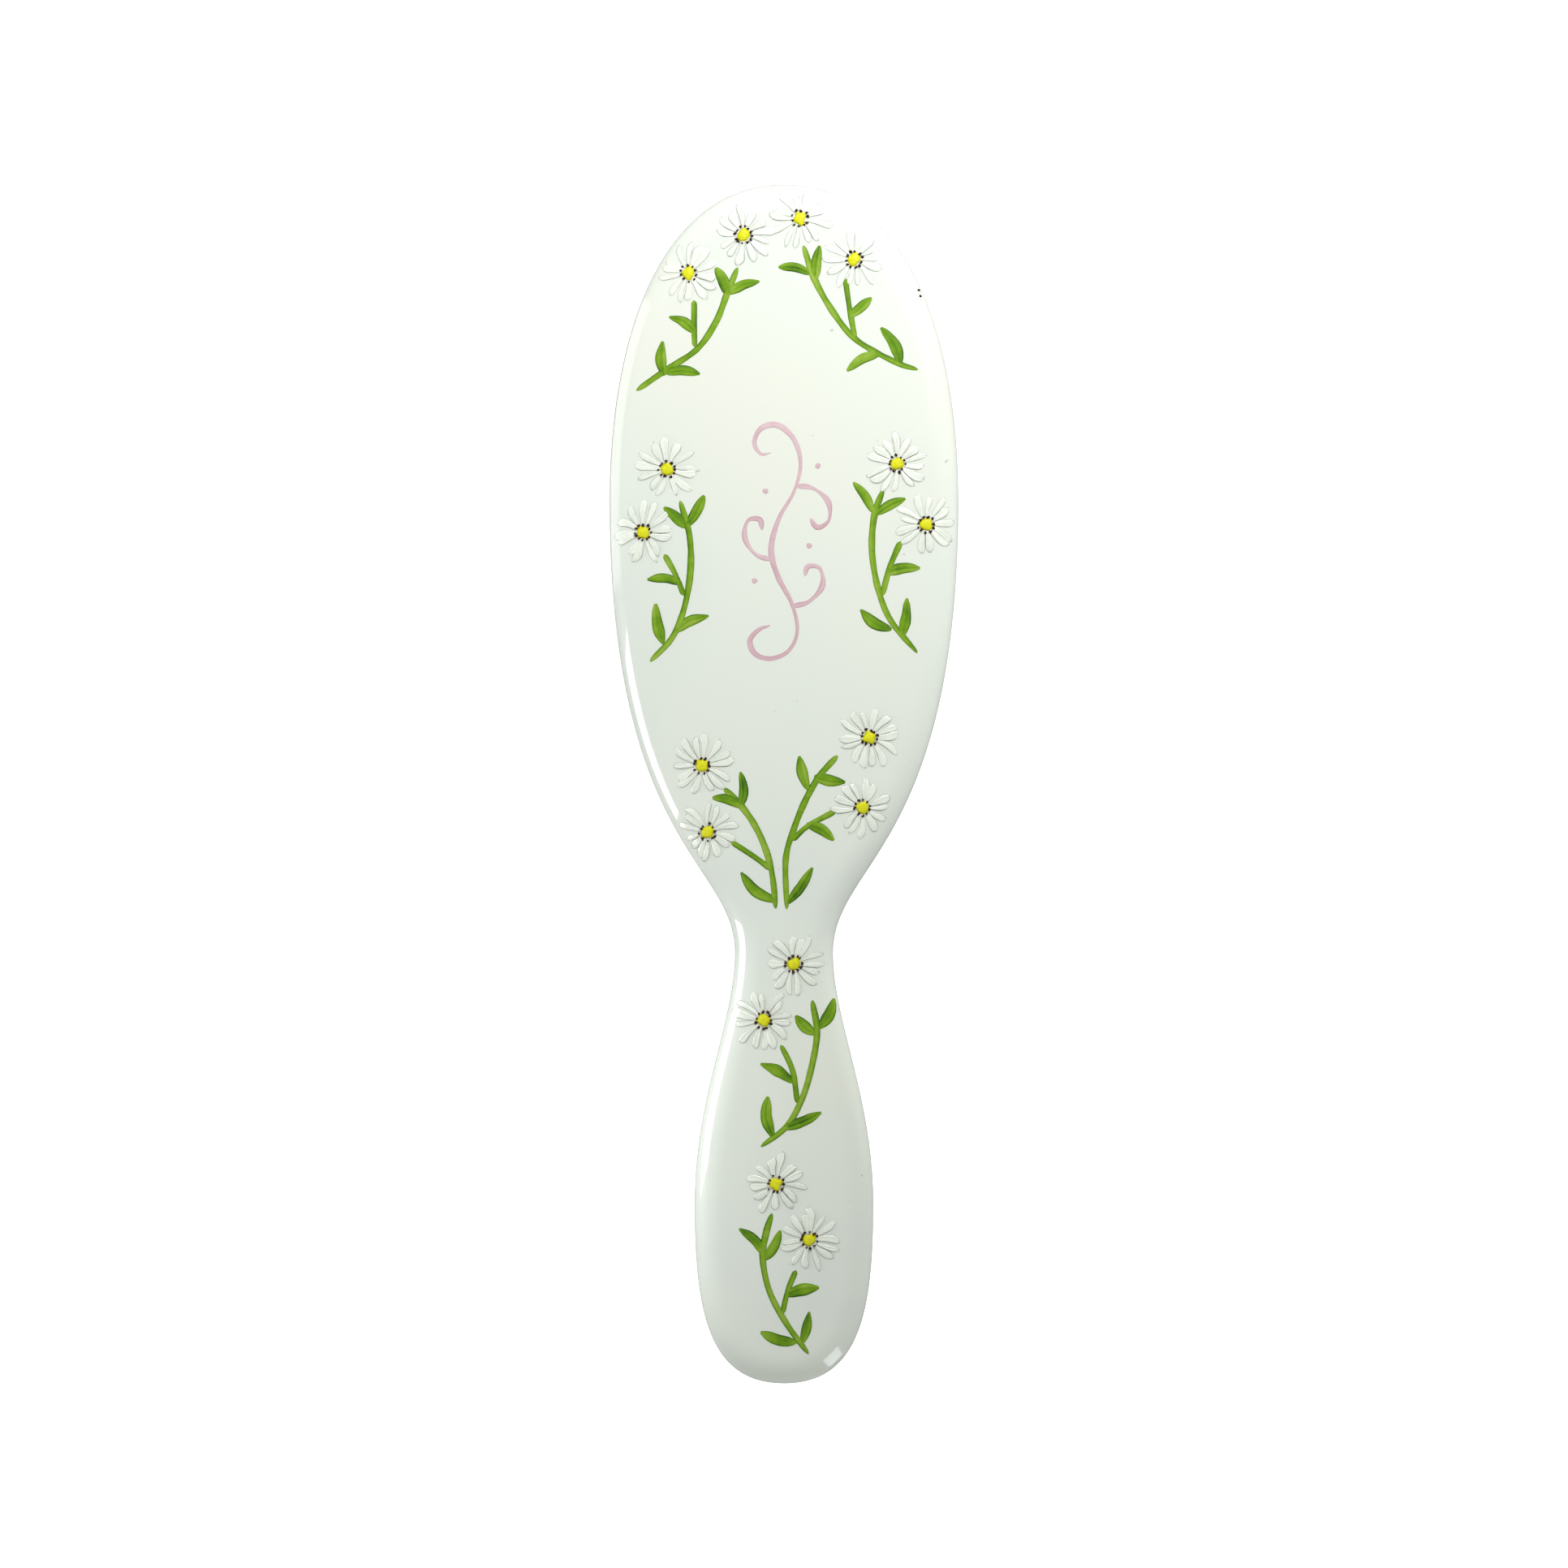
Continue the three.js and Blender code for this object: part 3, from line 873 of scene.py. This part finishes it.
def add_petal(petals, middle, angle, reach, width, rng):
    """One raised stroke of white paint, from near the middle of the flower outwards."""
    across = np.linspace(-1, 1, PETAL_COLUMNS)
    share = np.sin(np.linspace(0, 1, PETAL_ROWS) * math.pi / 2)[:, None]
    marks = bristle_marks(across, rng)
    hairs = np.cos(6.7 * across * math.pi + rng.uniform(0, 6)) * rng.uniform(0.4, 1)

    # Its outline: ragged at the tip, bent to one side, fuller on one side, round beyond its shoulder.
    shoulder = rng.uniform(0.5, 0.82)
    fuller = 1 + rng.uniform(-0.25, 0.25) * np.sign(across)
    ragged = 0.1 * MM * (marks + 0.5 * hairs) * share**6
    radius = PETAL_ROOT + (petal_room(middle, angle, reach) - PETAL_ROOT) * share + ragged
    turn = angle + rng.uniform(-0.18, 0.18) * share**2
    tip = np.clip((share - shoulder) / (1 - shoulder), 0, 0.985)
    wander = 0.07 * math.sin(rng.uniform(0, 6)) * np.sin(7 * share + rng.uniform(0, 6))
    half = 0.5 * width * (np.clip(0.34 + 0.95 * share, 0, 1) + wander) * np.sqrt(1 - tip**2) * fuller
    x = middle[0] + np.cos(turn) * radius - np.sin(turn) * half * across
    y = middle[1] + np.sin(turn) * radius + np.cos(turn) * half * across

    # Its relief: the paint is thickest past its middle and furrowed by the brush.
    swell = 0.35 + 0.65 * np.sin(math.pi * np.clip(share * 0.85 + 0.06, 0, 1))
    load = PETAL_HEIGHT * rng.uniform(0.7, 1.2) * swell
    relief = (1 - across**8) * (0.82 + 0.13 * marks + 0.05 * hairs) * np.clip(1 - tip**6, 0, 1)
    raised = load * relief - SINK * (np.abs(across) == 1)

    # Its tone: painted shade darkens it along the sides and at the tip, as a contour round the raised
    # paint.
    painted_contour_shade = np.clip((np.abs(across) - 0.75) / 0.25, 0, 1)
    tone = rng.uniform(0.55, 0.75) + 0.2 * marks + 0.14 * hairs * share - 0.95 * painted_contour_shade - 0.6 * tip**8
    petals.add_grid(x, y, raised, np.clip(tone, 0, 1))


def add_daisy(paints, middle, seed):
    """One daisy: a ring of petals, a yellow centre and brown dots round it."""
    rng = random.Random(seed)
    middle = np.array(middle) * MM
    count = rng.choice(PETAL_COUNTS)
    start = rng.uniform(0, 2 * math.pi)
    for k in range(count):
        angle = start + 2 * math.pi * (k + rng.uniform(-0.17, 0.17)) / count
        reach = PETAL_REACH * rng.uniform(0.82, 1.08)
        width = PETAL_WIDTH * rng.uniform(0.68, 1.18)
        add_petal(paints["petal"], middle, angle, reach, width, rng)
    paints["centre"].add_dome(middle, CENTRE_RADIUS, CENTRE_HEIGHT, rng, 0.16, 0.65, sides=22, rings=7)
    dots = rng.choice(DOT_COUNTS)
    for k in range(dots):
        angle = start + 2 * math.pi * (k + rng.uniform(-0.25, 0.25)) / dots
        away = DOT_RING * rng.uniform(0.88, 1.12)
        place = middle + away * np.array([math.cos(angle), math.sin(angle)])
        radius = rng.uniform(*DOT_RADII) * MM
        paints["dot"].add_dome(place, radius, DOT_HEIGHT, rng, 0.3, 0.4, sides=12)


# Each sprig: its two flowers, its main stem and side stem from the foot up, and its leaves from base
# to tip. Places are on the brush's back, in millimetres.
SPRIGS = [
    dict(flowers=[(-17.5, 93.5), (-7.4, 100.5)],
         stem=[(-27, 72), (-22, 75.5), (-16, 79.5), (-12.5, 84.5), (-10.5, 89.5), (-8.5, 94.5)],
         side=[(-16.4, 80), (-16.5, 84), (-16.5, 88.5)],
         leaves=[((-10.5, 90), (-12.5, 94.5)), ((-9.5, 90), (-4.5, 92)), ((-16.8, 83), (-21, 85.5)),
                 ((-22, 75.5), (-22.2, 81)), ((-21, 75.2), (-15.4, 75))]),
    dict(flowers=[(2.9, 103.5), (12.8, 96)],
         stem=[(24.5, 75.8), (20.5, 77.1), (13.5, 81), (9.5, 85.5), (5.7, 92), (3.5, 98.5)],
         side=[(13, 81.5), (12, 87), (11.2, 92.5)],
         leaves=[((4.2, 93.5), (-1, 94.6)), ((5.8, 93), (6.5, 98.5)), ((12.5, 86), (16, 89)),
                 ((17, 78.5), (11.5, 75.6)), ((21, 77.5), (17.7, 83.5))]),
    dict(flowers=[(-21.4, 57.6), (-25.8, 46)],
         stem=[(-24.5, 22.4), (-20.5, 26.7), (-18.3, 32), (-17.1, 39), (-17.3, 45.5), (-19, 51.8)],
         side=[(-18.3, 34.5), (-20, 38.6), (-21.9, 42)],
         leaves=[((-18.6, 47.4), (-22, 50.6)), ((-17.4, 47.8), (-14.6, 52.8)), ((-19.5, 36.8), (-25, 37.4)),
                 ((-22.2, 26.4), (-23.5, 33)), ((-19.4, 28.1), (-13.8, 30.8))]),
    dict(flowers=[(20.7, 58.6), (26, 47.5)],
         stem=[(24.4, 24), (19.6, 29.8), (17.3, 35.4), (16.1, 42.4), (16.5, 49), (18.2, 54)],
         side=[(18, 34.5), (19.4, 39.7), (21.4, 44.4)],
         leaves=[((15.9, 50.3), (12.7, 55.2)), ((17.6, 49.7), (22.2, 52.2)), ((19.4, 38.7), (24.9, 39.5)),
                 ((19, 28.7), (14, 31.9)), ((21.6, 27.5), (22.5, 34))]),
    dict(flowers=[(-15, 3.4), (-14, -8.8)],
         stem=[(-1.5, -22.8), (-2, -17.3), (-3.1, -12.5), (-5.2, -7.7), (-8, -3.7), (-11, -0.7)],
         side=[(-2.4, -15.6), (-5.7, -13.2), (-9.7, -10.6)],
         leaves=[((-8.3, -4), (-13.1, -2.5)), ((-7.9, -3.4), (-8, 2.2)), ((-1.9, -21), (-7.9, -16.2))]),
    dict(flowers=[(15.6, 8.5), (14.4, -4.3)],
         stem=[(0.5, -22.9), (0.3, -13.8), (1.8, -8.2), (3.9, -3), (6.5, 1.5), (9.8, 5.2)],
         side=[(1.5, -10.3), (4.3, -7.7), (9.4, -4.9)],
         leaves=[((4.2, -0.3), (2.8, 5.1)), ((6.3, 1.2), (11.2, 0.3)), ((4.8, -7.7), (9.1, -10.3)),
                 ((1, -21.3), (5.2, -15.3))]),
    dict(flowers=[(1.8, -32.9), (-3.7, -43.2)],
         stem=[(-4.2, -66.4), (0.5, -62.7), (3.4, -57.5), (5.2, -51.4), (6.1, -45.3), (5.2, -39.6)],
         side=[(2.4, -58.4), (1.5, -52.5), (-0.6, -47.8)],
         leaves=[((5.1, -45.3), (2.1, -42.4)), ((6.7, -44.1), (9.2, -39.3)), ((1, -54.2), (-4.3, -51.2)),
                 ((-2.1, -63.9), (-3, -57.2)), ((0.5, -62.7), (6.8, -60.1))]),
    dict(flowers=[(-1.5, -73.2), (4.6, -83.4)],
         stem=[(4.5, -104.3), (0.5, -98.8), (-2.7, -92.7), (-3.9, -86.6), (-3.3, -82.3), (-2.2, -78.6)],
         side=[(-0.3, -96.9), (0.7, -92.7), (2.2, -89)],
         leaves=[((-3.9, -85.7), (-8.2, -81.4)), ((-3.3, -86.4), (-0.7, -81.7)), ((1, -93.3), (6.4, -92.1)),
                 ((1.5, -102), (-4.3, -100.3)), ((3.4, -101.7), (4.6, -96.6))]),
]

# A pink flourish: a long wave that curls up at both ends, with three tendrils and a few dots.
FLOURISH = [
    [(-2.5, 29), (-4.6, 28.2), (-6.2, 26.2), (-5.2, 23.8), (-2.4, 23), (0.8, 24.4), (2.4, 28), (1.4, 33),
     (-1.2, 38), (-2.4, 43), (-1, 48.5), (1.8, 53.5), (3, 58.5), (1.8, 63), (-1.2, 65.6), (-4.2, 65),
     (-5.4, 62.4), (-4.2, 60.4), (-2.4, 60.6)],
    [(-2.3, 41), (-5.2, 42), (-7.2, 45), (-6.6, 48.2), (-4.4, 48.4), (-4, 46.4)],
    [(2.2, 54.5), (5.4, 54), (8, 51.6), (8.2, 48.4), (6.2, 47), (4.8, 48.6)],
    [(1.6, 32.5), (4.6, 33.4), (7, 36.2), (6.6, 39.4), (4.4, 39.8), (3.8, 38)],
]
FLOURISH_DOTS = [(-5.4, 37.2), (6.2, 58.2), (4.6, 43.6), (-3.4, 53.6)]
# Two dark dabs at the head's right edge, painted shade for the dark gap along the outline there.
EDGE_SHADE_DABS = [(24.7, 90.5), (25.0, 89.4)]


def swelling(share):
    """A stroke that swells and thins along its length, as a pen's does."""
    return (0.78 + 0.22 * np.sin(5 * math.pi * share + 0.6)) * even(share)


def build_decoration():
    """All the raised paint, one piece for each paint."""
    materials = paint_materials()
    paints = {kind: Strokes() for kind in materials}
    for number, sprig in enumerate(SPRIGS):
        rng = random.Random(100 + number)
        brush_stroke(paints["green"], sprig["stem"], STEM_WIDTH, STEM_HEIGHT, tapering, rng, 0.72)
        brush_stroke(paints["green"], sprig["side"], SIDE_STEM_WIDTH, STEM_HEIGHT, even, rng, 0.66)
        for base, tip in sprig["leaves"]:
            add_leaf(paints["green"], base, tip, rng)
        for k, flower in enumerate(sprig["flowers"]):
            add_daisy(paints, flower, 10 * number + k)
    rng = random.Random(7)
    for line in FLOURISH:
        brush_stroke(paints["pink"], line, FLOURISH_WIDTH, FLOURISH_HEIGHT, swelling, rng, 0.55)
    for place in FLOURISH_DOTS:
        middle = np.array(place) * MM
        paints["pink"].add_dome(middle, FLOURISH_DOT_RADIUS, FLOURISH_DOT_HEIGHT, rng, 0.08, 0.55)
    # Dark dabs of painted shade at the head's right edge, in the dot paint.
    for place in EDGE_SHADE_DABS:
        paints["dot"].add_dome(np.array(place) * MM, EDGE_SHADE_DAB_RADIUS, EDGE_SHADE_DAB_HEIGHT, rng, 0.15, 0.2)
    names = {
        "petal": ("daisy_petals", "petal_paint"),
        "centre": ("daisy_centres", "flower_centre_paint"),
        "dot": ("daisy_seed_dots_and_edge_shade_dabs", "seed_dot_paint"),
        "green": ("sprig_stems_and_leaves", "leaf_paint"),
        "pink": ("pink_flourish", "flourish_paint"),
    }
    for kind, (name, slot) in names.items():
        paints[kind].finish(name, materials[kind], slot)


# ---- Stage, light and camera ----

# The camera looks straight down. FRAME_WIDTH is what it sees from left to right at FOCUS_Z, the level
# where the body is widest.
FRAME_WIDTH = 287.6 * MM
CAMERA_HEIGHT = 1.3
SENSOR_WIDTH = 36.0
CAMERA_REACH = 20
FOCUS_Z = BACK_Z - BACK_EDGE_DEPTH

FLOOR_HALF_WIDTH = 4
BACKDROP_RADIUS = 3.6
BACKDROP_HEIGHT = 4.0
BACKDROP_SIDES = 96
BACKDROP_GLOW = 0.42
SKY_LOW = (0.13, 0.14, 0.135)
SKY_HIGH = (0.52, 0.53, 0.51)
SKY_TOP = 0.9
DAYLIGHT = (0.88, 0.95, 1.0)
# The floor's own light, and the places along Y between which it changes.
GLOW_RANGE = {"From Min": -0.12, "From Max": 0.14, "To Min": 0.56, "To Max": 0.34}


def add_softbox(name, target, towards, distance, size, brightness, color=(1, 1, 1), rays="both", roll=0):
    """A lit panel facing its target.

    towards is the azimuth and elevation it is seen at from its target, and roll its turn about that
    line, in degrees. brightness is its own, so it doesn't change with the size. rays is "shine" if the
    panel is only reflected, "fill" if it only lights, or "both".
    """
    azimuth, elevation = (math.radians(angle) for angle in towards)
    light = bpy.data.lights.new(name, "AREA")
    light.shape = "RECTANGLE"
    light.size, light.size_y = size
    light.energy = brightness * math.pi * light.size * light.size_y
    light.color = color
    obj = bpy.data.objects.new(name, light)
    level = math.cos(elevation)
    away = Vector((math.cos(azimuth) * level, math.sin(azimuth) * level, math.sin(elevation)))
    obj.location = Vector(target) + distance * away
    turn = (-away).to_track_quat("-Z", "Y") @ Quaternion((0, 0, 1), math.radians(roll))
    obj.rotation_euler = turn.to_euler()
    obj.visible_camera = False
    obj.visible_diffuse = rays != "shine"
    obj.visible_glossy = rays != "fill"
    bpy.context.scene.collection.objects.link(obj)


def build_stage():
    """A sheet of white paper, lit from within, the more towards the handle, where the light falls off."""
    w = FLOOR_HALF_WIDTH
    floor = make_object("studio_floor", [(-w, -w, 0), (w, -w, 0), (w, w, 0), (-w, w, 0)], [(0, 1, 2, 3)])
    m = Nodes("floor_paper", Roughness=0.95, Specular_IOR_Level=0.1, Emission_Color=(1, 1, 1, 1))
    m.paint(m.ramp(m.noise(6, 2.0), [(0.3, (0.93, 0.93, 0.93)), (0.7, (0.95, 0.95, 0.95))]))
    split = m.add("ShaderNodeSeparateXYZ")
    m.link(m.place(), split.inputs[0])
    glow = m.add("ShaderNodeMapRange")
    for key, value in GLOW_RANGE.items():
        glow.inputs[key].default_value = value
    m.link(split.outputs["Y"], glow.inputs["Value"])
    m.link(glow.outputs["Result"], m.shader.inputs["Emission Strength"])
    floor.data.materials.append(m.material)
    floor.visible_glossy = False


def build_backdrop():
    """A pale wall all round, far behind the object. Only the camera sees it, so it lights nothing."""
    turns = np.arange(BACKDROP_SIDES) / BACKDROP_SIDES * 2 * math.pi
    ring = np.column_stack([np.cos(turns), np.sin(turns)]) * BACKDROP_RADIUS
    verts = [(x, y, z) for z in (0, BACKDROP_HEIGHT) for x, y in ring]
    faces = []
    for k in range(BACKDROP_SIDES):
        n = (k + 1) % BACKDROP_SIDES
        faces.append((k, n, BACKDROP_SIDES + n, BACKDROP_SIDES + k))
    wall = make_object("studio_backdrop", verts, faces)
    m = Nodes("backdrop_paper", Roughness=1.0, Specular_IOR_Level=0.0,
              Emission_Color=(1, 1, 1, 1), Emission_Strength=BACKDROP_GLOW)
    m.paint(m.ramp(m.noise(2, 2.0), [(0.3, (0.88, 0.88, 0.88)), (0.7, (0.92, 0.92, 0.92))]))
    wall.data.materials.append(m.material)
    for ray in ("diffuse", "glossy", "transmission", "shadow"):
        setattr(wall, f"visible_{ray}", False)


def build_world():
    """A plain sky, brighter overhead than round the horizon."""
    world = bpy.data.worlds.new("studio")
    bpy.context.scene.world = world
    world.use_nodes = True
    tree = world.node_tree
    background = tree.nodes["Background"]
    coordinates = tree.nodes.new("ShaderNodeTexCoord")
    split = tree.nodes.new("ShaderNodeSeparateXYZ")
    tree.links.new(coordinates.outputs["Generated"], split.inputs[0])
    ramp = tree.nodes.new("ShaderNodeValToRGB")
    low, high = ramp.color_ramp.elements
    low.position, low.color = 0.0, (*SKY_LOW, 1)
    high.position, high.color = SKY_TOP, (*SKY_HIGH, 1)
    tree.links.new(split.outputs["Z"], ramp.inputs["Fac"])
    tree.links.new(ramp.outputs["Color"], background.inputs["Color"])
    background.inputs["Strength"].default_value = 1.0


def build_lights():
    """Panels for the highlights along the edges, and close ones that only shade the lacquer."""
    z = FOCUS_Z
    add_softbox("key_over_head", (0, 0.05, z), (66, 49), 0.266, (0.24, 0.15), 6.75)
    add_softbox("card_behind_crown", (0, 0.09, z), (80, 14), 0.3, (0.34, 0.1), 2.2)
    add_softbox("window_beside_neck", (-0.0165, -0.032, z), (180, 19), 0.145, (0.0864, 0.08), 8.0,
                rays="shine", roll=12)
    add_softbox("card_beside_head", (-0.03, 0.06, z), (168, -5), 0.3, (0.2, 0.4), 1.6, rays="shine")
    add_softbox("window_below_butt", (0.009, -0.104, z), (-48, 16), 0.13, (0.04, 0.12), 3.4,
                DAYLIGHT, rays="shine")
    add_softbox("fill_beside_handle", (-0.01, -0.068, z), (180, 25), 0.065, (0.06, 0.03), 3.7,
                rays="fill")
    add_softbox("fill_below_butt", (0, -0.107, z), (-80, 10), 0.1, (0.06, 0.03), 4.0, rays="fill")
    add_softbox("fill_left_of_head", (-0.03, 0.038, z), (180, 9), 0.17, (0.12, 0.05), 8.0, rays="fill")
    add_softbox("fill_right_of_head", (0.03, 0.04, z), (0, 8), 0.2, (0.12, 0.05), 3.2, rays="fill")


def build_camera():
    camera = bpy.data.cameras.new("camera")
    camera.sensor_width = SENSOR_WIDTH
    camera.lens = SENSOR_WIDTH * CAMERA_HEIGHT / FRAME_WIDTH
    camera.clip_end = CAMERA_REACH
    obj = bpy.data.objects.new("camera", camera)
    obj.location = (0, 0, FOCUS_Z + CAMERA_HEIGHT)
    bpy.context.scene.collection.objects.link(obj)
    bpy.context.scene.camera = obj


# ---- The scene ----

bpy.context.scene.view_settings.view_transform = "Standard"
build_camera()
build_stage()
build_backdrop()
build_world()
build_lights()

build_body(lacquer_material())
places, row_spacing = pin_field()
nylon = nylon_material()
for row in range(PIN_ROWS):
    build_pin_row(row, [(x, y) for r, x, y in places if r == row], nylon)
build_cushion(places, row_spacing, rubber_material())
build_lining(cloth_material())
build_decoration()
